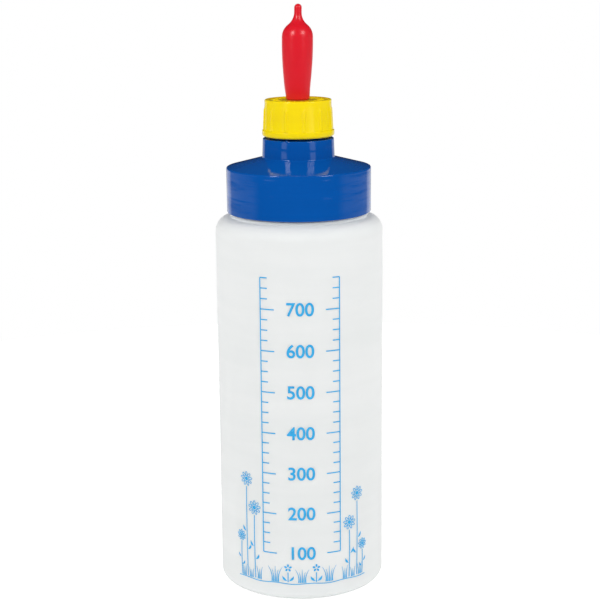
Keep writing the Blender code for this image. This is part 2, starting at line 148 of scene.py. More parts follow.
world = bpy.data.worlds.new("studio")
world.use_nodes = True
bpy.context.scene.world = world
room = world.node_tree
room.nodes.clear()
facing = add_node(room, "ShaderNodeTexCoord", (-1300, 0))
axes = add_node(room, "ShaderNodeSeparateXYZ", (-1100, 0))


def soft_step(value, ends, at):
    """From 0 to 1 as a value goes from the first end to the second, either way round."""
    step = add_node(room, "ShaderNodeMapRange", at, interpolation_type="SMOOTHSTEP")
    step.inputs["From Min"].default_value, step.inputs["From Max"].default_value = ends
    room.links.new(value, step.inputs["Value"])
    return step.outputs["Result"]


def product(values, at):
    """All the values multiplied together."""
    result = values[0]
    for i, value in enumerate(values[1:]):
        times = add_node(room, "ShaderNodeMath", (at[0] + 160 * i, at[1]), operation="MULTIPLY")
        room.links.new(result, times.inputs[0])
        room.links.new(value, times.inputs[1])
        result = times.outputs["Value"]
    return result


aside = add_node(room, "ShaderNodeMath", (-1050, -200), operation="ABSOLUTE")
room.links.new(facing.outputs["Generated"], axes.inputs["Vector"])
room.links.new(axes.outputs["X"], aside.inputs[0])
along_y, along_z, along_x = axes.outputs["Y"], axes.outputs["Z"], aside.outputs["Value"]

walls = add_node(room, "ShaderNodeMapRange", (-650, 300))
walls.inputs["To Min"].default_value = FRONT_LIGHT
walls.inputs["To Max"].default_value = WALL_LIGHT
lit = add_node(room, "ShaderNodeMix", (-450, 300), data_type="FLOAT")
lit.inputs["A"].default_value = CEILING_LIGHT
room.links.new(soft_step(along_y, LIGHT_SIDE_Y, (-900, 300)), walls.inputs["Value"])
room.links.new(soft_step(along_z, LIGHT_TOP_Z, (-900, 100)), lit.inputs["Factor"])
room.links.new(walls.outputs["Result"], lit.inputs["B"])

off_centre = soft_step(along_x, SCREEN_ASIDE, (-900, -100))
screens = (
    soft_step(along_y, SCREEN_Y, (-900, -300)),
    soft_step(along_z, SCREEN_TOP_Z, (-900, -500)),
    off_centre,
)
glow = (
    soft_step(along_y, GLOW_Y, (-900, -700)),
    soft_step(along_z, GLOW_TOP_Z, (-900, -900)),
    off_centre,
)
strips = (
    soft_step(along_y, STRIP_NEAR_Y, (-900, -1100)),
    soft_step(along_y, STRIP_FAR_Y, (-900, -1300)),
    soft_step(along_z, STRIP_LOW_Z, (-900, -1500)),
    soft_step(along_z, STRIP_TOP_Z, (-900, -1700)),
)
mirrored = MIRRORED_ROOM
for i, (lights, strength) in enumerate(
    ((screens, SCREEN_LIGHT), (glow, GLOW_LIGHT), (strips, STRIP_LIGHT))
):
    total = add_node(room, "ShaderNodeMath", (100, -300 - 400 * i), operation="MULTIPLY_ADD")
    total.inputs[1].default_value = strength
    room.links.new(product(lights, (-650, -300 - 400 * i)), total.inputs[0])
    if i == 0:
        total.inputs[2].default_value = mirrored
    else:
        room.links.new(mirrored, total.inputs[2])
    mirrored = total.outputs["Value"]

seen = add_node(room, "ShaderNodeLightPath", (0, 600))
shiny = add_node(room, "ShaderNodeMath", (200, 500), operation="MAXIMUM")
level = add_node(room, "ShaderNodeMix", (350, 100), data_type="FLOAT")
shown = add_node(room, "ShaderNodeMix", (500, 100), data_type="FLOAT")
shown.inputs["B"].default_value = 1.0
sky = add_node(room, "ShaderNodeBackground", (650, 0), inputs={"Color": (1, 1, 1, 1)})
out = add_node(room, "ShaderNodeOutputWorld", (800, 0))
room.links.new(seen.outputs["Is Glossy Ray"], shiny.inputs[0])
room.links.new(seen.outputs["Is Transmission Ray"], shiny.inputs[1])
room.links.new(shiny.outputs["Value"], level.inputs["Factor"])
room.links.new(lit.outputs["Result"], level.inputs["A"])
room.links.new(mirrored, level.inputs["B"])
room.links.new(seen.outputs["Is Camera Ray"], shown.inputs["Factor"])
room.links.new(level.outputs["Result"], shown.inputs["A"])
room.links.new(shown.outputs["Result"], sky.inputs["Strength"])
room.links.new(sky.outputs["Background"], out.inputs["Surface"])

card_round = bmesh.new()
bmesh.ops.create_circle(card_round, cap_ends=True, segments=96, radius=FLOOR_RADIUS)
floor_mesh = bpy.data.meshes.new("floor")
card_round.to_mesh(floor_mesh)
card_round.free()
floor = bpy.data.objects.new("floor", floor_mesh)
bpy.context.scene.collection.objects.link(floor)
floor_finish = bpy.data.materials.new("white_card")
floor_finish.use_nodes = True
card = floor_finish.node_tree
card_shader = card.nodes["Principled BSDF"]
card_shader.inputs["Base Color"].default_value = FLOOR_COLOUR
card_shader.inputs["Roughness"].default_value = 0.8
card_shader.inputs["Specular IOR Level"].default_value = 0.1
card_shader.inputs["Emission Color"].default_value = (1, 1, 1, 1)
where = add_node(card, "ShaderNodeTexCoord", (-1100, -200))
reach = add_node(card, "ShaderNodeVectorMath", (-900, -200), operation="LENGTH")
whiten = add_node(card, "ShaderNodeMapRange", (-700, -200), interpolation_type="SMOOTHSTEP")
whiten.inputs["From Min"].default_value = FLOOR_NEAR
whiten.inputs["From Max"].default_value = FLOOR_FAR
whiten.inputs["To Min"].default_value = FLOOR_NEAR_WHITE
whiten.inputs["To Max"].default_value = 1.0
card_seen = add_node(card, "ShaderNodeLightPath", (-700, -500))
card_white = add_node(card, "ShaderNodeMath", (-450, -300), operation="MULTIPLY")
card.links.new(where.outputs["Object"], reach.inputs[0])
card.links.new(reach.outputs["Value"], whiten.inputs["Value"])
card.links.new(whiten.outputs["Result"], card_white.inputs[0])
card.links.new(card_seen.outputs["Is Camera Ray"], card_white.inputs[1])
card_glow = add_node(card, "ShaderNodeMath", (-250, -300), operation="MAXIMUM")
card_glow.inputs[1].default_value = FLOOR_GLOW
card.links.new(card_white.outputs["Value"], card_glow.inputs[0])
card.links.new(card_glow.outputs["Value"], card_shader.inputs["Emission Strength"])
floor_mesh.materials.append(floor_finish)


# The bottle is blown from natural polythene: a thin, milky wall with a satin skin, a screw neck,
# a fine seam up each side where the mould closed, and a pinched seam under its pushed-up base.
SKIN = 0.05  # the wall stays this far inside the CAD's, so that the print on it fits as well
BOTTLE_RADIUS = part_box("bottle")[1].x / MM - SKIN
RIM_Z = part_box("bottle")[1].z / MM
BOTTLE_WALL = 1.4
BASE_THICKNESS = 2.0
BASE_CORNER = 3.75
FOOT_WIDTH = 2.75
PUSH_UP_HEIGHT = 3.0
PUSH_UP_SLOPE = 3.5
NECK_RADIUS = 31.4
NECK_WALL = 1.8
NECK_HEIGHT = 19.1
NECK_STEP_WIDTH = 2.1
NECK_STEP_HEIGHT = 1.9
SHOULDER_Z = RIM_Z - NECK_HEIGHT
SHOULDER_ROUND = 6.9
BOTTLE_FACETS = 160
CAP_LEAD = 6.0  # how far the cap rises in one turn
NECK_THREAD_Z = 190.5
NECK_THREAD_TURNS = 1.5
NECK_THREAD_DEPTH = 1.4
NECK_THREAD_WIDTH = 2.3
THREAD_ROOTED = 0.25  # a thread's ridge starts this deep in the wall that carries it
THREAD_FADE_STEPS = 7
SEAM_WIDTH = 0.5
SEAM_HEIGHT = 0.9 * SKIN
PINCH_LENGTH = 46.0
PINCH_WIDTH = 0.9
PINCH_HEIGHT = 0.35
PINCH_ROUND = 0.2
BOTTLE_PALE = (0.84, 0.86, 0.855, 1.0)
BOTTLE_DENSE = (0.80, 0.825, 0.82, 1.0)


def rounded(corners, step=12.0):
    """Points along an outline of (radius, height, rounding) corners, with arcs of even steps in degrees."""
    points = []
    for i, (r, z, rounding) in enumerate(corners):
        if rounding == 0:
            points.append((r, z))
            continue
        before, after = corners[i - 1], corners[(i + 1) % len(corners)]
        a = math.atan2(before[1] - z, before[0] - r)
        b = math.atan2(after[1] - z, after[0] - r)
        turn = (b - a + math.pi) % (2 * math.pi) - math.pi
        to_centre = rounding / math.sin(abs(turn) / 2)
        centre_r = r + to_centre * math.cos(a + turn / 2)
        centre_z = z + to_centre * math.sin(a + turn / 2)
        sweep = -math.copysign(math.pi - abs(turn), turn)
        first = a - math.copysign(math.pi / 2, turn)
        steps = max(2, round(abs(math.degrees(sweep)) / step))
        for i in range(steps + 1):
            at = first + sweep * i / steps
            points.append((centre_r + rounding * math.cos(at), centre_z + rounding * math.sin(at)))
    return points


def turn_into(shape, outline, angles, shift=None):
    """Adds a closed outline turned about the Z axis to a bmesh, at the given angles from the front.

    shift(radius, height, angle) may give a point another radius, for ribs and the like.
    """
    rings = []
    for r, z in outline:
        if r == 0:
            rings.append([shape.verts.new((0, 0, z * MM))] * len(angles))
            continue
        ring = []
        for angle in angles:
            out = shift(r, z, angle) if shift else r
            ring.append(
                shape.verts.new((out * math.sin(angle) * MM, -out * math.cos(angle) * MM, z * MM))
            )
        rings.append(ring)
    for low, high in zip(rings, rings[1:] + rings[:1]):
        if low[0] is low[1] and high[0] is high[1]:
            continue
        for i in range(len(angles)):
            corners = (low[i - 1], low[i], high[i], high[i - 1])
            shape.faces.new(list(dict.fromkeys(corners)))


def even_angles(count):
    return [2 * math.pi * i / count for i in range(count)]


def wind_thread(shape, root, crest, start_z, turns, lead, width, angle_step=6.0):
    """Adds a screw ridge that fades in and out at its ends, on a root radius, out or in to its crest."""
    inner = root - math.copysign(THREAD_ROOTED, crest - root)
    steps = round(turns * 360 / angle_step)
    rings = []
    for i in range(steps + 1):
        angle = math.radians(i * angle_step)
        grown = min(1.0, i / THREAD_FADE_STEPS, (steps - i) / THREAD_FADE_STEPS)
        grown = math.sin(grown * math.pi / 2)
        top = root + (crest - root) * grown
        middle = start_z + lead * angle / (2 * math.pi)
        section = []
        for r, half in ((inner, 0.5), (root, 0.5), (top, 0.24), (top, -0.24), (root, -0.5), (inner, -0.5)):
            z = middle + half * width
            section.append(shape.verts.new((-r * math.cos(angle) * MM, -r * math.sin(angle) * MM, z * MM)))
        rings.append(section)
    for one, two in zip(rings, rings[1:]):
        for i in range(len(one)):
            shape.faces.new((one[i - 1], one[i], two[i], two[i - 1]))
    shape.faces.new(rings[0])
    shape.faces.new(rings[-1])


def even_shading(piece):
    """Lets the large faces set the shading next to their rounded edges, so that flats look flat."""
    weights = piece.modifiers.new("even_shading", "WEIGHTED_NORMAL")
    weights.keep_sharp = True


def finished(name, shape, material, sharp=38.0):
    """The bmesh as a linked object: faces out, round faces smooth, its material on."""
    bmesh.ops.recalc_face_normals(shape, faces=shape.faces)
    mesh = bpy.data.meshes.new(name)
    shape.to_mesh(mesh)
    shape.free()
    mesh.shade_smooth()
    mesh.set_sharp_from_angle(angle=math.radians(sharp))
    mesh.materials.append(material)
    made = bpy.data.objects.new(name, mesh)
    bpy.context.scene.collection.objects.link(made)
    even_shading(made)
    return made


def group_tree(name, inputs, outputs):
    """A shader node group with float inputs (name: default) and outputs, and its two end nodes."""
    tree = bpy.data.node_groups.new(name, "ShaderNodeTree")
    for socket, default in inputs.items():
        made = tree.interface.new_socket(socket, in_out="INPUT", socket_type="NodeSocketFloat")
        made.default_value = default
    for socket in outputs:
        tree.interface.new_socket(socket, in_out="OUTPUT", socket_type="NodeSocketFloat")
    start = add_node(tree, "NodeGroupInput", (-1200, 0))
    end = add_node(tree, "NodeGroupOutput", (600, 0))
    return tree, start, end


def moulded_skin():
    """Fine grain, a slow waviness, and streaks that lie round the piece where the melt flowed."""
    tree, start, end = group_tree(
        "moulded_skin",
        {
            "Grain Scale": 2500.0,
            "Wave Scale": 120.0,
            "Streak Scale": 60.0,
            "Grain Share": 0.3,
            "Streak Relief": 0.0,
        },
        ("Height", "Streaks"),
    )
    place = add_node(tree, "ShaderNodeTexCoord", (-1200, 300))
    grain = add_node(tree, "ShaderNodeTexNoise", (-800, 300), inputs={"Detail": 3.0})
    wave = add_node(tree, "ShaderNodeTexNoise", (-800, 0), inputs={"Detail": 2.0})
    flat = add_node(tree, "ShaderNodeMapping", (-1000, -300), inputs={"Scale": (0.35, 0.35, 3.0)})
    streak = add_node(tree, "ShaderNodeTexNoise", (-800, -300), inputs={"Detail": 4.0})
    spread = add_node(tree, "ShaderNodeMapRange", (-500, -300), interpolation_type="SMOOTHSTEP")
    spread.inputs["From Min"].default_value = 0.3
    spread.inputs["From Max"].default_value = 0.7
    height = add_node(tree, "ShaderNodeMix", (-300, 150), data_type="FLOAT")
    banded = add_node(tree, "ShaderNodeMath", (100, 100), operation="MULTIPLY_ADD")
    link = tree.links.new
    link(place.outputs["Object"], grain.inputs["Vector"])
    link(place.outputs["Object"], wave.inputs["Vector"])
    link(place.outputs["Object"], flat.inputs["Vector"])
    link(flat.outputs["Vector"], streak.inputs["Vector"])
    link(start.outputs["Grain Scale"], grain.inputs["Scale"])
    link(start.outputs["Wave Scale"], wave.inputs["Scale"])
    link(start.outputs["Streak Scale"], streak.inputs["Scale"])
    link(start.outputs["Grain Share"], height.inputs["Factor"])
    link(wave.outputs["Fac"], height.inputs["A"])
    link(grain.outputs["Fac"], height.inputs["B"])
    link(streak.outputs["Fac"], spread.inputs["Value"])
    link(streak.outputs["Fac"], banded.inputs[0])
    link(start.outputs["Streak Relief"], banded.inputs[1])
    link(height.outputs["Result"], banded.inputs[2])
    link(banded.outputs["Value"], end.inputs["Height"])
    link(spread.outputs["Result"], end.inputs["Streaks"])
    return tree


def handling_marks():
    """Short hairline scratches and rubbed patches from use, as a mask."""
    tree, start, end = group_tree("handling_marks", {"Scale": 90.0, "Amount": 0.3}, ("Marks",))
    place = add_node(tree, "ShaderNodeTexCoord", (-1200, 300))
    slant = add_node(
        tree,
        "ShaderNodeMapping",
        (-1000, 300),
        inputs={"Rotation": (0.5, 0.35, 0.8), "Scale": (9.0, 0.7, 1.6)},
    )
    hair = add_node(tree, "ShaderNodeTexNoise", (-800, 300), inputs={"Detail": 2.0})
    thin = add_node(tree, "ShaderNodeMapRange", (-600, 300))
    thin.inputs["From Min"].default_value = 0.66
    thin.inputs["From Max"].default_value = 0.72
    patch = add_node(tree, "ShaderNodeTexNoise", (-800, 0), inputs={"Detail": 3.0})
    some = add_node(tree, "ShaderNodeMapRange", (-600, 0))
    some.inputs["From Min"].default_value = 0.5
    some.inputs["From Max"].default_value = 0.75
    both = add_node(tree, "ShaderNodeMath", (-300, 150), operation="MULTIPLY_ADD", use_clamp=True)
    both.inputs[2].default_value = 0.0
    amount = add_node(tree, "ShaderNodeMath", (-100, 150), operation="MULTIPLY")
    link = tree.links.new
    link(place.outputs["Object"], slant.inputs["Vector"])
    link(place.outputs["Object"], patch.inputs["Vector"])
    link(slant.outputs["Vector"], hair.inputs["Vector"])
    link(start.outputs["Scale"], hair.inputs["Scale"])
    link(start.outputs["Scale"], patch.inputs["Scale"])
    link(hair.outputs["Fac"], thin.inputs["Value"])
    link(patch.outputs["Fac"], some.inputs["Value"])
    link(thin.outputs["Result"], both.inputs[0])
    link(some.outputs["Result"], both.inputs[1])
    link(both.outputs["Value"], amount.inputs[0])
    link(start.outputs["Amount"], amount.inputs[1])
    link(amount.outputs["Value"], end.inputs["Marks"])
    return tree


SKIN_GROUP = moulded_skin()
MARKS_GROUP = handling_marks()


def moulded_material(name, pale, dense, smooth, rough, bump, skin=None, marks=0.3, **shader_values):
    """A plastic or rubber: two near colours by the streaks, roughness by streaks and marks, and a bump."""
    material = bpy.data.materials.new(name)
    material.use_nodes = True
    tree = material.node_tree
    shader = tree.nodes["Principled BSDF"]
    for socket, value in shader_values.items():
        shader.inputs[socket.replace("_", " ")].default_value = value
    surface = add_node(tree, "ShaderNodeGroup", (-900, 0), node_tree=SKIN_GROUP, inputs=skin or {})
    rubbed = add_node(
        tree, "ShaderNodeGroup", (-900, -300), node_tree=MARKS_GROUP, inputs={"Amount": marks}
    )
    colour = add_node(tree, "ShaderNodeMix", (-500, 200), data_type="RGBA")
    colour.inputs["A"].default_value = pale
    colour.inputs["B"].default_value = dense
    worn = add_node(tree, "ShaderNodeMath", (-650, -150), operation="ADD", use_clamp=True)
    gloss = add_node(tree, "ShaderNodeMapRange", (-450, -150))
    gloss.inputs["To Min"].default_value = smooth
    gloss.inputs["To Max"].default_value = rough
    relief = add_node(
        tree, "ShaderNodeBump", (-450, -450), inputs={"Strength": 1.0, "Distance": bump * MM}
    )
    link = tree.links.new
    link(surface.outputs["Streaks"], colour.inputs["Factor"])
    link(surface.outputs["Streaks"], worn.inputs[0])
    link(rubbed.outputs["Marks"], worn.inputs[1])
    link(worn.outputs["Value"], gloss.inputs["Value"])
    link(surface.outputs["Height"], relief.inputs["Height"])
    link(colour.outputs["Result"], shader.inputs["Base Color"])
    link(gloss.outputs["Result"], shader.inputs["Roughness"])
    link(relief.outputs["Normal"], shader.inputs["Normal"])
    return material


def bottle_outline():
    foot = BOTTLE_RADIUS - BASE_CORNER - FOOT_WIDTH
    push_up = foot - PUSH_UP_SLOPE
    inner = BOTTLE_RADIUS - BOTTLE_WALL
    neck_bore = NECK_RADIUS - NECK_WALL
    neck_step = NECK_RADIUS + NECK_STEP_WIDTH
    step_z = SHOULDER_Z + NECK_STEP_HEIGHT
    under_shoulder = SHOULDER_Z - BOTTLE_WALL
    return rounded(
        [
            (0, PUSH_UP_HEIGHT, 0),
            (push_up, PUSH_UP_HEIGHT, 1.2),
            (foot, 0, 0.8),
            (BOTTLE_RADIUS, 0, BASE_CORNER),
            (BOTTLE_RADIUS, SHOULDER_Z, SHOULDER_ROUND),
            (neck_step, SHOULDER_Z, 0.45),
            (neck_step, step_z, 0.5),
            (NECK_RADIUS, step_z, 0.4),
            (NECK_RADIUS, RIM_Z, 0.6),
            (neck_bore, RIM_Z, 0.6),
            (neck_bore, under_shoulder, 1.9),
            (inner, under_shoulder, SHOULDER_ROUND - BOTTLE_WALL),
            (inner, BASE_THICKNESS, BASE_CORNER - BOTTLE_WALL),
            (foot, BASE_THICKNESS, 0),
            (push_up, PUSH_UP_HEIGHT + BASE_THICKNESS, 0),
            (0, PUSH_UP_HEIGHT + BASE_THICKNESS, 0),
        ]
    )


def seam_angles():
    """Even angles round the bottle, and a close one on both sides of each seam."""
    half = SEAM_WIDTH / 2 / BOTTLE_RADIUS
    beside = [side * math.pi / 2 + way * half for side in (1, 3) for way in (-1, 1)]
    return sorted(even_angles(BOTTLE_FACETS) + beside)


def outer_wall(outline):
    """The outline's points from the foot's corner up to the top of the shoulder."""
    corner = BOTTLE_RADIUS - BASE_CORNER + 0.1
    first = next(i for i, point in enumerate(outline) if point[0] > corner)
    last = next(i for i, point in enumerate(outline) if point[1] > SHOULDER_Z + 0.01)
    return outline[first:last]


def add_pinch(shape):
    """The pinched line across the base."""
    place = Matrix.Translation((0, 0, PUSH_UP_HEIGHT * MM)) @ Matrix.Diagonal(
        (PINCH_LENGTH * MM, PINCH_WIDTH * MM, 2 * PINCH_HEIGHT * MM, 1)
    )
    pinch = bmesh.ops.create_cube(shape, size=1.0, matrix=place)
    pinch_edges = list({edge for vert in pinch["verts"] for edge in vert.link_edges})
    bmesh.ops.bevel(shape, geom=pinch_edges, offset=PINCH_ROUND * MM, segments=2, affect="EDGES")


shape = bmesh.new()
outline = bottle_outline()
wall_points = set(outer_wall(outline))


def raised_seam(r, z, angle):
    """The wall's radius with the fine ridge of each seam."""
    on_seam = abs(math.cos(angle)) < 0.001 and (r, z) in wall_points
    return r + SEAM_HEIGHT if on_seam else r


turn_into(shape, outline, seam_angles(), raised_seam)
wind_thread(
    shape,
    root=NECK_RADIUS,
    crest=NECK_RADIUS + NECK_THREAD_DEPTH,
    start_z=NECK_THREAD_Z,
    turns=NECK_THREAD_TURNS,
    lead=CAP_LEAD,
    width=NECK_THREAD_WIDTH,
)
add_pinch(shape)
milky_polythene = moulded_material(
    "milky_polythene",
    BOTTLE_PALE,
    BOTTLE_DENSE,
    smooth=0.42,
    rough=0.54,
    bump=0.02,
    skin={"Grain Scale": 3000.0, "Wave Scale": 60.0, "Streak Scale": 22.0, "Grain Share": 0.15},
    marks=0.4,
    Specular_IOR_Level=0.3,
    Subsurface_Weight=0.6,
    Subsurface_Radius=(1.0, 1.0, 1.0),
    Subsurface_Scale=0.004,
    IOR=1.5,
)
bottle = finished("blown_bottle", shape, milky_polythene)
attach(bottle, "bottle")
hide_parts("bottle")


# The print is one colour of light blue ink, screened on the curved front: a volume scale with plain
# numbers, and daisies and grass at its foot and on both sides. The ink is a thin film on the wall.
INK_FILM = 0.045
INK_SUNK = 0.03  # its underside lies this far in the wall
INK_STEP = 1.2  # the ink is cut this finely to bend round the bottle
INK_PALE = (0.02, 0.43, 0.86, 1.0)
INK_DENSE = (0.01, 0.38, 0.80, 1.0)
HUNDRED_ML = 20.3  # height of each 100 ml on the wall
FIRST_MARK_Z = 24.3
MARK_COUNT = 7
NUMBER_HEIGHT = 6.6
DIGIT_SHARE = 0.73  # a digit's height in letters of size 1
NUMBER_BOLDER = 0.16
LONG_TICK = 7.0
SHORT_TICK = 3.6
TICKS_A_MARK = 4
TICK_THICKNESS = 0.55
SCALE_HALF_WIDTH = 19.5
MEADOW_Z = 9.5
STALK_WIDTH = 0.5
PETAL_COUNT = 9
PETAL_LINE = 0.36
TALL_FLOWERS = {  # how far from the middle: the height of the head, and its size
    -1: ((24.6, 46.0, 3.6), (29.3, 60.0, 3.6), (33.2, 30.0, 2.8)),
    1: ((24.8, 38.0, 3.6), (29.6, 52.0, 3.6), (33.3, 25.0, 2.8)),
}


def ink_strip(shape, points, widths):
    """Adds a flat strip along points, with its own width at each one, in the unrolled front's plane."""
    left, right = [], []
    for i, (u, v) in enumerate(points):
        before = points[max(i - 1, 0)]
        after = points[min(i + 1, len(points) - 1)]
        du, dv = after[0] - before[0], after[1] - before[1]
        length = math.hypot(du, dv)
        half = widths[i] / 2
        left.append(shape.verts.new((u - dv / length * half, v + du / length * half, 0)))
        right.append(shape.verts.new((u + dv / length * half, v - du / length * half, 0)))
    for i in range(len(points) - 1):
        shape.faces.new((left[i], left[i + 1], right[i + 1], right[i]))


def ink_shape(shape, points):
    """Adds a filled outline."""
    shape.faces.new([shape.verts.new((u, v, 0)) for u, v in points])


def ink_ring(shape, points, width):
    """Adds the line round a closed outline."""
    count = len(points)
    inner, outer = [], []
    for i, (u, v) in enumerate(points):
        before, after = points[i - 1], points[(i + 1) % count]
        du, dv = after[0] - before[0], after[1] - before[1]
        length = math.hypot(du, dv)
        half = width / 2
        inner.append(shape.verts.new((u - dv / length * half, v + du / length * half, 0)))
        outer.append(shape.verts.new((u + dv / length * half, v - du / length * half, 0)))
    for i in range(count):
        shape.faces.new((inner[i - 1], inner[i], outer[i], outer[i - 1]))


def oval(u, v, long, wide, lean, count=18):
    """Points round an oval whose long axis leans from upright, in radians."""
    points = []
    for i in range(count):
        angle = 2 * math.pi * i / count
        along, across = long * math.cos(angle), wide * math.sin(angle)
        points.append(
            (
                u + along * math.sin(lean) + across * math.cos(lean),
                v + along * math.cos(lean) - across * math.sin(lean),
            )
        )
    return points


def bowed(start, end, bow, steps=10):
    """Points from start to end along a curve that bows to one side."""
    points = []
    for i in range(steps + 1):
        t = i / steps
        push = 4 * bow * t * (1 - t)
        du, dv = end[0] - start[0], end[1] - start[1]
        length = math.hypot(du, dv)
        points.append((start[0] + du * t + dv / length * push, start[1] + dv * t - du / length * push))
    return points


def daisy(shape, u, v, size):
    """A flower head: a solid middle with nine outlined petals round it."""
    ink_shape(shape, oval(u, v, 0.27 * size, 0.27 * size, 0))
    for petal in range(PETAL_COUNT):
        lean = 2 * math.pi * petal / PETAL_COUNT
        middle = (u + 0.68 * size * math.sin(lean), v + 0.68 * size * math.cos(lean))
        ink_ring(shape, oval(*middle, 0.3 * size, 0.15 * size, lean), PETAL_LINE)


def leaf(shape, u, v, length, lean):
    """A solid leaf that rises from a point and leans to one side."""
    tip = (u + length * math.sin(lean), v + length * math.cos(lean))
    points = bowed((u, v), tip, math.copysign(0.12 * length, lean))
    widths = [0.16 + 0.3 * length * math.sin(math.pi * i / 10) ** 1.3 for i in range(11)]
    ink_strip(shape, points, widths)


def grass_tuft(shape, u, v, blades, height):
    """Blades of grass that fan out from one place."""
    for blade in range(blades):
        from_middle = blade - (blades - 1) / 2
        lean = math.radians(7) * from_middle
        tall = height * (0.8 if blade % 2 else 1.0)
        foot = (u + 0.85 * from_middle, v)
        tip = (foot[0] + tall * math.sin(lean), v + tall * math.cos(lean))
        points = bowed(foot, tip, -0.1 * tall * math.sin(lean) * 4)
        ink_strip(shape, points, [0.62 - 0.5 * i / 10 for i in range(11)])


def add_meadow(shape):
    """Daisies on both sides of the scale, with grass and small flowers along their foot."""
    ground = [(u * 0.5, MEADOW_Z - 0.6 + 0.25 * math.sin(u * 0.18)) for u in range(-70, 71)]
    ink_strip(shape, ground, [0.4] * len(ground))
    for side, flowers in TALL_FLOWERS.items():
        for u, v, size in flowers:
            foot = (side * (u - 0.3), MEADOW_Z + 0.2)
            neck = (side * u, v - 1.1 * size)
            stalk = bowed(foot, neck, side * 0.25)
            ink_strip(shape, stalk, [STALK_WIDTH] * len(stalk))
            daisy(shape, side * u, v, size)
            for i in range(2):
                at = stalk[3 + 2 * i]
                outward = side if i else -side
                leaf(shape, at[0] + outward * 0.55, at[1], 0.9 * size, outward * 0.6)
        for u, blades, height in ((22.0, 3, 6.5), (26.8, 3, 5.0), (31.3, 3, 6.0), (13.5, 5, 8.0)):
            grass_tuft(shape, side * u, MEADOW_Z, blades, height)
        foot, neck = (side * 7.0, MEADOW_Z + 0.2), (side * 7.0, MEADOW_Z + 5.2)
        ink_strip(shape, (foot, neck), (STALK_WIDTH, STALK_WIDTH))
        for turn in range(5):
            lean = 2 * math.pi * turn / 5
            middle = (side * 7.0 + 1.25 * math.sin(lean), neck[1] + 2.3 + 1.25 * math.cos(lean))
            ink_shape(shape, oval(*middle, 0.75, 0.5, lean, 12))
        for outward in (-1, 1):
            leaf(shape, foot[0] + outward * 0.5, foot[1] + 0.6, 3.4, outward * 0.75)
    grass_tuft(shape, 0, MEADOW_Z, 5, 7.0)


def number_shape(shape, text, u, v, height):
    """Adds a plain number, centred on (u, v)."""
    letters = bpy.data.curves.new("number", "FONT")
    letters.body = text
    letters.size = height / DIGIT_SHARE
    letters.offset = NUMBER_BOLDER
    letters.align_x = "CENTER"
    letters.align_y = "CENTER"
    letters.resolution_u = 6
    holder = bpy.data.objects.new("number", letters)
    bpy.context.scene.collection.objects.link(holder)
    bpy.context.view_layer.update()
    flat = bpy.data.meshes.new_from_object(holder.evaluated_get(bpy.context.evaluated_depsgraph_get()))
    flat.transform(Matrix.Translation((u, v, 0)))
    shape.from_mesh(flat)
    bpy.data.objects.remove(holder, do_unlink=True)
    bpy.data.meshes.remove(flat)


def print_on_front(name, shape, material):
    """Bends the flat ink round the bottle's front and gives it the thickness of its film."""
    bmesh.ops.remove_doubles(shape, verts=shape.verts, dist=0.001)
    reach = max(abs(vert.co.x) for vert in shape.verts)
    cut = -reach + INK_STEP
    while cut < reach:
        bmesh.ops.bisect_plane(
            shape,
            geom=shape.verts[:] + shape.edges[:] + shape.faces[:],
            plane_co=(cut, 0, 0),
            plane_no=(1, 0, 0),
            dist=0.0001,
        )
        cut += INK_STEP
    for face in shape.faces:
        face.normal_update()
        if face.normal.z < 0:
            face.normal_flip()
    for vert in shape.verts:
        angle = vert.co.x / BOTTLE_RADIUS
        out = BOTTLE_RADIUS + INK_FILM
        vert.co = (out * math.sin(angle) * MM, -out * math.cos(angle) * MM, vert.co.y * MM)
    mesh = bpy.data.meshes.new(name)
    shape.to_mesh(mesh)
    shape.free()
    printed = bpy.data.objects.new(name, mesh)
    bpy.context.scene.collection.objects.link(printed)
    film = printed.modifiers.new("film", "SOLIDIFY")
    film.thickness = (INK_FILM + INK_SUNK) * MM
    film.offset = -1.0
    mesh.materials.append(material)
    return printed


ink = moulded_material(
    "light_blue_ink",
    INK_PALE,
    INK_DENSE,
    smooth=0.36,
    rough=0.5,
    bump=0.006,
    skin={"Grain Scale": 4000.0, "Wave Scale": 900.0, "Streak Scale": 160.0, "Grain Share": 0.5},
    marks=0.2,
    Subsurface_Weight=0.15,
    Subsurface_Radius=(1.0, 1.0, 1.0),
    Subsurface_Scale=0.001,
)

shape = bmesh.new()
for mark in range(MARK_COUNT):
    z = FIRST_MARK_Z + mark * HUNDRED_ML
    number_shape(shape, str(100 * (mark + 1)), 0, z, NUMBER_HEIGHT)
    for side in (-1, 1):
        for part in range(TICKS_A_MARK):
            length = LONG_TICK if part == 0 else SHORT_TICK
            level = z + part * HUNDRED_ML / TICKS_A_MARK
            ends = [(side * SCALE_HALF_WIDTH, level), (side * (SCALE_HALF_WIDTH - length), level)]
            ink_strip(shape, ends, (TICK_THICKNESS, TICK_THICKNESS))
for side in (-1, 1):
    top = FIRST_MARK_Z + (MARK_COUNT - 1 / TICKS_A_MARK) * HUNDRED_ML
    rule = [(side * SCALE_HALF_WIDTH, FIRST_MARK_Z), (side * SCALE_HALF_WIDTH, top)]
    ink_strip(shape, rule, (TICK_THICKNESS, TICK_THICKNESS))
add_meadow(shape)
volume_scale = print_on_front("volume_scale", shape, ink)
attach(volume_scale, "bottle")


# The cap seal is a flat ring of soft white foam that lies under the cap's roof, on the bottle's rim.
# The CAD ring has its true shape, so it only gets its fine closed cells here.
FOAM_PALE = (0.86, 0.85, 0.81, 1.0)
FOAM_DENSE = (0.78, 0.77, 0.72, 1.0)

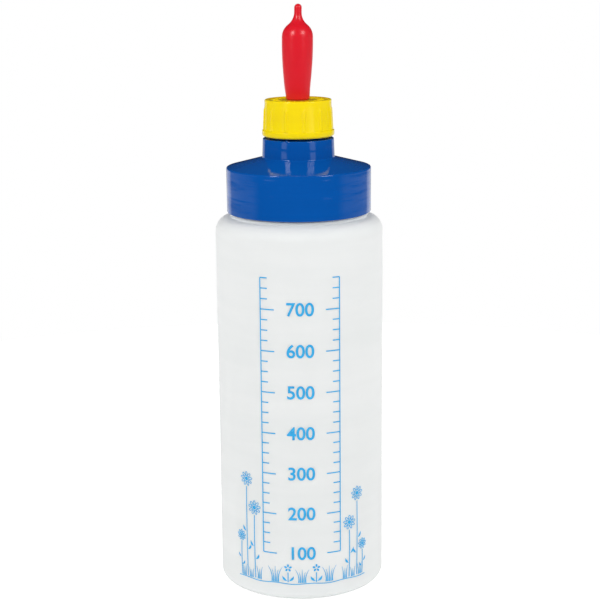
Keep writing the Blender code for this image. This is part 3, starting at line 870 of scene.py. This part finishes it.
white_foam = moulded_material(
    "white_foam",
    FOAM_PALE,
    FOAM_DENSE,
    smooth=0.7,
    rough=0.9,
    bump=0.05,
    skin={"Grain Scale": 1800.0, "Wave Scale": 500.0, "Streak Scale": 300.0, "Grain Share": 0.7},
    marks=0.0,
)
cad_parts["cap_seal"].data.materials.clear()
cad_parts["cap_seal"].data.materials.append(white_foam)


# The cap is one hollow moulding in blue plastic: a plain skirt with its thread inside, a shallow
# cone, a round tower and the threaded spout, with a small nib of plastic left at the tower's edge.
CAP_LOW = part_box("cap")[0].z / MM
SPOUT_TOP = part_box("cap")[1].z / MM
SKIRT_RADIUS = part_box("cap")[1].x / MM
SKIRT_BORE = 33.25
SKIRT_DRAFT = 0.1
SEAL_GAP = 0.3
SEAT_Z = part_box("cap_seal")[1].z / MM + SEAL_GAP
SKIRT_OVER_SEAT = 2.5
CONE_Z = SEAT_Z + SKIRT_OVER_SEAT
CONE_RISE = 4.7
CONE_WALL = 2.0
LAND_RADIUS = 27.7
TOWER_BASE_RADIUS = 17.6
TOWER_RADIUS = 17.25
TOWER_BORE = 15.25
SPOUT_LENGTH = 13.95
LEDGE_Z = SPOUT_TOP - SPOUT_LENGTH
LEDGE_WALL = 2.0
SPOUT_RADIUS = 12.45
SPOUT_BORE = 10.85
CAP_THREAD_DEPTH = 1.3
SPOUT_THREAD_DEPTH = 1.25
COLLAR_PITCH = 3.175
SPOUT_THREAD_Z = 226.0
SPOUT_THREAD_TURNS = 2.4
SPOUT_THREAD_WIDTH = 1.25
NIB_ANGLE = -19.0
NIB_RADIUS = 0.55
NIB_SUNK = 0.15
NIB_DROP = 0.1
BLUE_CLEAR = (0.002, 0.083, 0.37, 1.0)
BLUE_DEEP = (0.001, 0.076, 0.34, 1.0)


def cap_outline():
    slope = CONE_RISE / (SKIRT_RADIUS - TOWER_BASE_RADIUS)
    under = CONE_Z - CONE_WALL * math.hypot(1, slope)
    return rounded(
        [
            (SPOUT_BORE, SPOUT_TOP, 0.35),
            (SPOUT_RADIUS, SPOUT_TOP, 0.35),
            (SPOUT_RADIUS, LEDGE_Z, 0.4),
            (TOWER_RADIUS, LEDGE_Z, 0.45),
            (TOWER_BASE_RADIUS, CONE_Z + CONE_RISE, 0.7),
            (SKIRT_RADIUS, CONE_Z, 0.75),
            (SKIRT_RADIUS - SKIRT_DRAFT, CAP_LOW, 0.4),
            (SKIRT_BORE, CAP_LOW, 0.4),
            (SKIRT_BORE, SEAT_Z, 0.3),
            (LAND_RADIUS, SEAT_Z, 0.3),
            (LAND_RADIUS, under + (SKIRT_RADIUS - LAND_RADIUS) * slope, 0.5),
            (TOWER_BORE, under + (SKIRT_RADIUS - TOWER_BORE) * slope, 0.5),
            (TOWER_BORE, LEDGE_Z - LEDGE_WALL, 0.8),
            (SPOUT_BORE, LEDGE_Z - LEDGE_WALL, 0.4),
        ]
    )


shape = bmesh.new()
turn_into(shape, cap_outline(), even_angles(BOTTLE_FACETS))
wind_thread(
    shape,
    root=SKIRT_BORE,
    crest=SKIRT_BORE - CAP_THREAD_DEPTH,
    start_z=NECK_THREAD_Z + CAP_LEAD / 2,
    turns=NECK_THREAD_TURNS,
    lead=CAP_LEAD,
    width=NECK_THREAD_WIDTH,
)
wind_thread(
    shape,
    root=SPOUT_RADIUS,
    crest=SPOUT_RADIUS + SPOUT_THREAD_DEPTH,
    start_z=SPOUT_THREAD_Z,
    turns=SPOUT_THREAD_TURNS,
    lead=COLLAR_PITCH,
    width=SPOUT_THREAD_WIDTH,
)
nib = math.radians(NIB_ANGLE)
nib_out = (TOWER_RADIUS - NIB_SUNK) * MM
bmesh.ops.create_icosphere(
    shape,
    subdivisions=3,
    radius=NIB_RADIUS * MM,
    matrix=Matrix.Translation(
        (nib_out * math.sin(nib), -nib_out * math.cos(nib), (LEDGE_Z - NIB_DROP) * MM)
    ),
)
blue_plastic = moulded_material(
    "blue_plastic",
    BLUE_CLEAR,
    BLUE_DEEP,
    smooth=0.04,
    rough=0.09,
    bump=0.12,
    skin={
        "Grain Scale": 1500.0,
        "Wave Scale": 80.0,
        "Streak Scale": 32.0,
        "Grain Share": 0.03,
        "Streak Relief": 4.2,
    },
    marks=0.5,
    IOR=1.49,
)
cap = finished("screw_cap", shape, blue_plastic)
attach(cap, "cap")
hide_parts("cap")


# The spout seal is a grey rubber washer. It lies on the spout's rim under the collar's plate, and
# the CAD washer has its true shape, so it gets the talc-dull skin of cut rubber.
GREY_PALE = (0.36, 0.36, 0.35, 1.0)
GREY_DEEP = (0.30, 0.30, 0.29, 1.0)

grey_rubber = moulded_material(
    "grey_rubber",
    GREY_PALE,
    GREY_DEEP,
    smooth=0.6,
    rough=0.8,
    bump=0.03,
    skin={"Grain Scale": 2200.0, "Wave Scale": 400.0, "Streak Scale": 200.0, "Grain Share": 0.6},
    marks=0.1,
)
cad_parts["spout_seal"].data.materials.clear()
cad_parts["spout_seal"].data.materials.append(grey_rubber)


# The teat collar is a yellow moulded screw ring with a rounded lip, twelve finger ribs and a sunk
# top plate with plain raised strokes. The teat comes up through its middle, and the ball's chamber
# hangs below the plate.
COLLAR_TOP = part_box("teat_collar")[1].z / MM
LIP_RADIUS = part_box("teat_collar")[1].x / MM
COLLAR_GAP = 1.0
COLLAR_LOW = LEDGE_Z + COLLAR_GAP
PLATE_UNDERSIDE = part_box("spout_seal")[1].z / MM + SEAL_GAP
PLATE_THICKNESS = 2.2
PLATE_Z = PLATE_UNDERSIDE + PLATE_THICKNESS
COLLAR_BORE = 14.0
COLLAR_TOP_RADIUS = 16.05
COLLAR_BASE_RADIUS = 16.7
RIM_WIDTH = 1.1
RIM_FLARE = 0.15
RIM_BAND = 2.4
LIP_HEIGHT = 3.3
LIP_WIDTH = LIP_RADIUS - COLLAR_BASE_RADIUS
TEAT_HOLE = 5.2
RIB_COUNT = 12
RIB_HALF_WIDTH = 1.15
RIB_HEIGHT = 0.6
RIB_FIRST_ANGLE = 10.0
RIB_BELOW_TOP = 3.6
RIB_TOP = COLLAR_TOP - RIB_BELOW_TOP
RIB_RUN_OUT = 1.7
RIB_FLANK = (0.5, 1.0, 1.5, 2.0, 2.5, 3.0, 3.6, 4.6)  # degrees from the rib's middle
BETWEEN_RIBS = (0.27, 0.4, 0.5, 0.6, 0.73)
COLLAR_THREAD_DEPTH = 1.15
COLLAR_THREAD_WIDTH = 1.15
STROKE_COUNT = 24
STROKE_DISTANCE = 11.2
STROKE_WIDTH = 0.7
STROKE_LENGTHS = (2.2, 3.4)
STROKE_HEIGHT = 0.44
STROKE_LIFT = 0.02
STROKE_ROUND = 0.12
VENT_ANGLE = 218.0
VENT_DISTANCE = 7.65
VENT_HOLE = 0.6
CHAMBER_RADIUS = 1.35
CHAMBER_WALL = 0.65
CHAMBER_ROOF = 1.5
CHAMBER_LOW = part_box("vent_ring")[0].z / MM
YELLOW_BRIGHT = (0.90, 0.70, 0.004, 1.0)
YELLOW_DEEP = (0.87, 0.66, 0.002, 1.0)


def collar_outline():
    lip_z = COLLAR_LOW + LIP_HEIGHT
    band_z = COLLAR_TOP - RIM_BAND
    draft = (COLLAR_BASE_RADIUS - COLLAR_TOP_RADIUS) / (COLLAR_TOP - lip_z)
    side = []
    level = band_z - 0.8
    while level > lip_z + 0.3:
        side.append((COLLAR_TOP_RADIUS + draft * (COLLAR_TOP - level), level, 0))
        near_rib_end = RIB_TOP - 1.3 * RIB_RUN_OUT < level < RIB_TOP + 0.3
        level -= 0.16 if near_rib_end else 1.3
    return rounded(
        [
            (TEAT_HOLE, PLATE_Z, 0.25),
            (COLLAR_TOP_RADIUS - RIM_WIDTH, PLATE_Z, 0.15),
            (COLLAR_TOP_RADIUS - RIM_WIDTH, COLLAR_TOP, 0.2),
            (COLLAR_TOP_RADIUS + RIM_FLARE, COLLAR_TOP, 0.55),
            (COLLAR_TOP_RADIUS + draft * RIM_BAND, band_z, 6.0),
            *side,
            (COLLAR_BASE_RADIUS, lip_z, 0.3),
            (LIP_RADIUS, lip_z - LIP_WIDTH / 2, 0.35),
            (LIP_RADIUS, COLLAR_LOW, 1.2),
            (COLLAR_BORE, COLLAR_LOW, 0.3),
            (COLLAR_BORE, PLATE_UNDERSIDE, 0.2),
            (TEAT_HOLE, PLATE_UNDERSIDE, 0.2),
        ]
    )


def ribbed(r, z, angle):
    """The collar's radius with its ribs, which swell softly from the side and run out at their tops."""
    if z > RIB_TOP or z < COLLAR_LOW + LIP_HEIGHT or r < COLLAR_TOP_RADIUS - 0.1:
        return r
    pitch = 2 * math.pi / RIB_COUNT
    from_rib = (angle - math.radians(RIB_FIRST_ANGLE) + pitch / 2) % pitch - pitch / 2
    across = min(abs(from_rib) * r / RIB_HALF_WIDTH, 1.0)
    crown = (0.5 + 0.5 * math.cos(math.pi * across)) ** 0.8
    run_out = min((RIB_TOP - z) / RIB_RUN_OUT, 1.0)
    return r + RIB_HEIGHT * crown * math.sqrt(1 - (1 - run_out) ** 2)


def applied(target, tool, operation):
    """Cuts the tool out of the target, or joins it on, for good."""
    target.modifiers.clear()
    modifier = target.modifiers.new("join", "BOOLEAN")
    modifier.operation = operation
    modifier.solver = "EXACT"
    modifier.object = tool
    bpy.context.view_layer.update()
    done = bpy.data.meshes.new_from_object(
        target.evaluated_get(bpy.context.evaluated_depsgraph_get())
    )
    target.modifiers.clear()
    even_shading(target)
    old = target.data
    target.data = done
    bpy.data.meshes.remove(old)
    bpy.data.objects.remove(tool, do_unlink=True)


def at_vent(name, outline, material, facets=32):
    """A small turned piece that stands where the vent is."""
    shape = bmesh.new()
    turn_into(shape, outline, even_angles(facets))
    turn = math.radians(VENT_ANGLE)
    shift = (VENT_DISTANCE * math.sin(turn) * MM, -VENT_DISTANCE * math.cos(turn) * MM, 0)
    bmesh.ops.translate(shape, verts=shape.verts, vec=shift)
    return finished(name, shape, material)


yellow_plastic = moulded_material(
    "yellow_plastic",
    YELLOW_BRIGHT,
    YELLOW_DEEP,
    smooth=0.13,
    rough=0.19,
    bump=0.02,
    skin={"Grain Scale": 1800.0, "Wave Scale": 260.0, "Streak Scale": 45.0, "Grain Share": 0.1},
    marks=0.4,
    Specular_IOR_Level=0.4,
    Subsurface_Weight=0.2,
    Subsurface_Radius=(1.0, 0.8, 0.1),
    Subsurface_Scale=0.0015,
    IOR=1.49,
)

shape = bmesh.new()
rib_pitch = 360 / RIB_COUNT
across_rib = [-part for part in reversed(RIB_FLANK)] + [0, *RIB_FLANK]
angles = []
for rib in range(RIB_COUNT):
    middle = RIB_FIRST_ANGLE + rib * rib_pitch
    angles += [math.radians(middle + part) for part in across_rib]
    angles += [math.radians(middle + rib_pitch * part) for part in BETWEEN_RIBS]
turn_into(shape, collar_outline(), angles, ribbed)
collar = finished("ribbed_collar", shape, yellow_plastic, sharp=34.0)

boss = CHAMBER_RADIUS + CHAMBER_WALL
chamber_roof_z = PLATE_Z - CHAMBER_ROOF
chamber = [(0, CHAMBER_LOW), (boss, CHAMBER_LOW), (boss, PLATE_Z - 0.5), (0, PLATE_Z - 0.5)]
applied(collar, at_vent("chamber", chamber, yellow_plastic), "UNION")
air_way = [
    (0, CHAMBER_LOW - 1),
    (CHAMBER_RADIUS, CHAMBER_LOW - 1),
    (CHAMBER_RADIUS, chamber_roof_z - CHAMBER_RADIUS + VENT_HOLE),
    (VENT_HOLE, chamber_roof_z),
    (VENT_HOLE, PLATE_Z + 1),
    (0, PLATE_Z + 1),
]
applied(collar, at_vent("air_way", air_way, yellow_plastic), "DIFFERENCE")

shape = bmesh.new()
wind_thread(
    shape,
    root=COLLAR_BORE,
    crest=COLLAR_BORE - COLLAR_THREAD_DEPTH,
    start_z=SPOUT_THREAD_Z - COLLAR_PITCH / 2,
    turns=SPOUT_THREAD_TURNS,
    lead=COLLAR_PITCH,
    width=COLLAR_THREAD_WIDTH,
)
for i in range(STROKE_COUNT):
    turn = Matrix.Rotation(2 * math.pi * (i + 0.5) / STROKE_COUNT, 4, "Z")
    place = Matrix.Translation((0, -STROKE_DISTANCE * MM, (PLATE_Z + STROKE_LIFT) * MM))
    size = Matrix.Diagonal((STROKE_WIDTH * MM, STROKE_LENGTHS[i % 2] * MM, STROKE_HEIGHT * MM, 1))
    stroke = bmesh.ops.create_cube(shape, size=1.0, matrix=turn @ place @ size)
    edges = list({edge for vert in stroke["verts"] for edge in vert.link_edges})
    bmesh.ops.bevel(shape, geom=edges, offset=STROKE_ROUND * MM, segments=2, affect="EDGES")
details = finished("collar_thread_and_marks", shape, yellow_plastic)
for piece in (collar, details):
    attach(piece, "collar")
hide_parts("teat_collar")


# The teat is one dip of soft red rubber: a flange held between the washer and the plate, a neck, a
# hollow body that swells upwards, and a closed nub that the user cuts open.
FLANGE_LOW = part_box("teat")[0].z / MM
TEAT_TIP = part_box("teat")[1].z / MM
FLANGE_RADIUS = 10.4
FLANGE_THICKNESS = 1.5
TEAT_NECK = 4.9
TEAT_BORE = 3.3
TEAT_FOOT_Z = PLATE_Z + 0.3
TEAT_FOOT_RADIUS = 5.6
TEAT_FOOT_ROUND = 0.7
TEAT_BELLY_RADIUS = 7.5
TEAT_BODY_LENGTH = 27.2
TEAT_BELLY_LENGTH = 2.4
CROWN_ROUND = 7.5
CROWN_FILLET = 7.4
TEAT_NUB_RADIUS = 1.8
TEAT_WALL = 1.6
TEAT_TIP_WALL = 2.2
TEAT_LUMEN = 0.7
FLANGE_HOLE = 2.3
TEAT_FACETS = 72
BODY_STEPS = 18
CROWN_STEPS = 12
LEAN_FOOT = 6.0
LEAN_ASIDE = -0.3
LEAN_SLOPE = 0.0105  # sideways for each millimetre up
LEAN_NOD_FROM = 30.0
LEAN_NOD_LENGTH = 15.0
LEAN_NOD = 0.25
RED_LIGHT = (0.70, 0.003, 0.016, 1.0)
RED_DEEP = (0.65, 0.002, 0.013, 1.0)


def teat_side():
    """The (radius, height) points of the teat over its foot, up to its nub, and where the nub starts."""
    body = []
    for i in range(1, BODY_STEPS + 1):
        height = TEAT_FOOT_ROUND + (TEAT_BODY_LENGTH - TEAT_FOOT_ROUND) * i / BODY_STEPS
        swell = math.sin(math.pi / 2 * height / TEAT_BODY_LENGTH)
        body.append((TEAT_FOOT_RADIUS + (TEAT_BELLY_RADIUS - TEAT_FOOT_RADIUS) * swell, height))
    crown_height = TEAT_BODY_LENGTH + TEAT_BELLY_LENGTH
    turn = math.acos(1 - (TEAT_BELLY_RADIUS - TEAT_NUB_RADIUS) / (CROWN_ROUND + CROWN_FILLET))
    nub_height = crown_height + (CROWN_ROUND + CROWN_FILLET) * math.sin(turn)
    drawn_in, hollowed = [], []
    for i in range(CROWN_STEPS + 1):
        angle = turn * i / CROWN_STEPS
        away, up = 1 - math.cos(angle), math.sin(angle)
        drawn_in.append((TEAT_BELLY_RADIUS - CROWN_ROUND * away, crown_height + CROWN_ROUND * up))
        hollowed.append((TEAT_NUB_RADIUS + CROWN_FILLET * away, nub_height - CROWN_FILLET * up))
    return body + drawn_in + hollowed[-2::-1], nub_height


def teat_outline():
    side, nub_height = teat_side()
    side = [(r, TEAT_FOOT_Z + height) for r, height in side]
    flange_top = FLANGE_LOW + FLANGE_THICKNESS
    stem = rounded(
        [
            (TEAT_BORE, FLANGE_LOW, 0),
            (FLANGE_RADIUS, FLANGE_LOW, 0.4),
            (FLANGE_RADIUS, flange_top, 0.4),
            (TEAT_NECK, flange_top, 0.3),
            (TEAT_NECK, TEAT_FOOT_Z, 0),
            (TEAT_FOOT_RADIUS + 0.05, TEAT_FOOT_Z, 0.65),
            (*side[0], 0),
        ]
    )
    tip = []
    for i in range(9):
        angle = math.pi / 2 * i / 9
        drop = TEAT_NUB_RADIUS * (1 - math.sin(angle))
        tip.append((TEAT_NUB_RADIUS * math.cos(angle), TEAT_TIP - drop))
    hollow = [(r - TEAT_WALL, z) for r, z in reversed(side) if r - TEAT_WALL > TEAT_LUMEN]
    ceiling = TEAT_TIP - TEAT_TIP_WALL
    inside = [(0, ceiling), (TEAT_LUMEN, ceiling), (TEAT_LUMEN, TEAT_FOOT_Z + nub_height), *hollow]
    return [*stem, *side[1:], *tip, (0, TEAT_TIP), *inside, (TEAT_BORE, TEAT_FOOT_Z)]


def leaned(mesh):
    """Bends the teat a little to one side above its foot, as soft rubber stands."""
    for vert in mesh.vertices:
        height = vert.co.z / MM - TEAT_FOOT_Z
        rise = min(max(height / LEAN_FOOT, 0.0), 1.0)
        nod = min(max((height - LEAN_NOD_FROM) / LEAN_NOD_LENGTH, 0.0), 1.0)
        aside = LEAN_ASIDE * rise * rise * (3 - 2 * rise) + LEAN_SLOPE * max(height, 0.0)
        vert.co.x += (aside + LEAN_NOD * nod * nod * (3 - 2 * nod)) * MM


red_rubber = moulded_material(
    "red_rubber",
    RED_LIGHT,
    RED_DEEP,
    smooth=0.28,
    rough=0.32,
    bump=0.012,
    skin={"Grain Scale": 2600.0, "Wave Scale": 160.0, "Streak Scale": 14.0, "Grain Share": 0.2},
    marks=0.0,
    Specular_IOR_Level=0.5,
    Subsurface_Weight=0.25,
    Subsurface_Radius=(1.0, 0.15, 0.1),
    Subsurface_Scale=0.002,
    IOR=1.5,
)
shape = bmesh.new()
turn_into(shape, teat_outline(), even_angles(TEAT_FACETS))
teat = finished("rubber_teat", shape, red_rubber)
flange_hole = [
    (0, FLANGE_LOW - 1),
    (FLANGE_HOLE, FLANGE_LOW - 1),
    (FLANGE_HOLE, PLATE_UNDERSIDE + 0.2),
    (0, PLATE_UNDERSIDE + 0.2),
]
applied(teat, at_vent("flange_hole", flange_hole, red_rubber), "DIFFERENCE")
leaned(teat.data)
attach(teat, "collar")
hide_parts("teat")


# The vent: a small polished steel ball that shuts the air way when the bottle is tipped, over a
# yellow ring with crossed slots that is pressed in under it. Both are the CAD's own solids.
STEEL_BRIGHT = (0.68, 0.68, 0.70, 1.0)
STEEL_DULL = (0.62, 0.62, 0.64, 1.0)

polished_steel = moulded_material(
    "polished_steel",
    STEEL_BRIGHT,
    STEEL_DULL,
    smooth=0.10,
    rough=0.30,
    bump=0.004,
    skin={"Grain Scale": 5000.0, "Wave Scale": 2500.0, "Streak Scale": 900.0, "Grain Share": 0.5},
    marks=0.6,
    Metallic=1.0,
)
for node, material in (("vent_ball", polished_steel), ("vent_ring", yellow_plastic)):
    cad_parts[node].data.materials.clear()
    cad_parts[node].data.materials.append(material)
